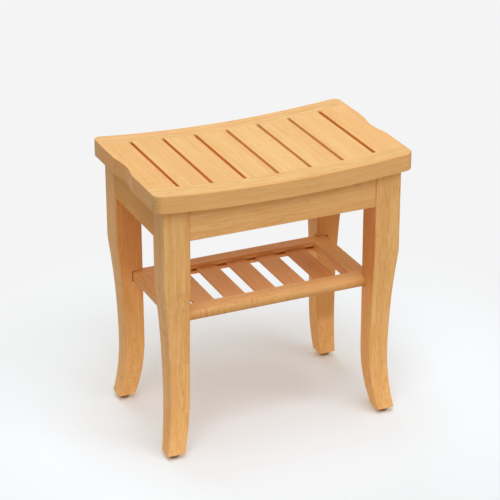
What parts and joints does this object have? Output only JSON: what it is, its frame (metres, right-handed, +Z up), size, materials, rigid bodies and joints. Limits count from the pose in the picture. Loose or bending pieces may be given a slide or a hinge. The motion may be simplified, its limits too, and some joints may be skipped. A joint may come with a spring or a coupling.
{
  "type": "shower bench",
  "caption": "Bamboo shower bench with a dished slatted seat, a hand grip in each end, sabre legs joined by aprons, and a slatted shelf between the legs.",
  "frame": {"origin": "on the floor, under the middle of the seat", "axes": "+X along the seat, +Y to its back, +Z up"},
  "size_m": [0.4064, 0.254, 0.4317],
  "materials": {
    "seat_bamboo": "satin",
    "apron_bamboo": "satin",
    "leg_bamboo": "satin",
    "shelf_bamboo": "satin",
    "hidden_bamboo": "satin",
    "zinc_plated_steel": "satin",
    "pad_rubber": "matt"
  },
  "bodies": {
    "root": {"back_apron": "apron_bamboo", "corner_block_back_left": "hidden_bamboo", "corner_block_back_right": "hidden_bamboo", "corner_block_front_left": "hidden_bamboo", "corner_block_front_right": "hidden_bamboo", "corner_block_screws": "zinc_plated_steel", "foot_pad_back_left": "pad_rubber", "foot_pad_back_right": "pad_rubber", "foot_pad_front_left": "pad_rubber", "foot_pad_front_right": "pad_rubber", "front_apron": "apron_bamboo", "hanger_bolt_nuts": "zinc_plated_steel", "hanger_bolt_washers": "zinc_plated_steel", "hanger_bolts": "zinc_plated_steel", "left_apron": "apron_bamboo", "leg_back_left": "leg_bamboo", "leg_back_right": "leg_bamboo", "leg_front_left": "leg_bamboo", "leg_front_right": "leg_bamboo", "right_apron": "apron_bamboo", "seat_back_rail": "seat_bamboo", "seat_front_rail": "seat_bamboo", "seat_left_end_board": "seat_bamboo", "seat_right_end_board": "seat_bamboo", "seat_screws": "zinc_plated_steel", "seat_slat_1": "seat_bamboo", "seat_slat_2": "seat_bamboo", "seat_slat_3": "seat_bamboo", "seat_slat_4": "seat_bamboo", "seat_slat_5": "seat_bamboo", "seat_slat_6": "seat_bamboo", "shelf_back_rail": "shelf_bamboo", "shelf_front_rail": "shelf_bamboo", "shelf_left_rail": "shelf_bamboo", "shelf_right_rail": "shelf_bamboo", "shelf_screws": "zinc_plated_steel", "shelf_slat_1": "shelf_bamboo", "shelf_slat_2": "shelf_bamboo", "shelf_slat_3": "shelf_bamboo", "shelf_slat_4": "shelf_bamboo", "shelf_slat_5": "shelf_bamboo"}
  },
  "joints": []
}
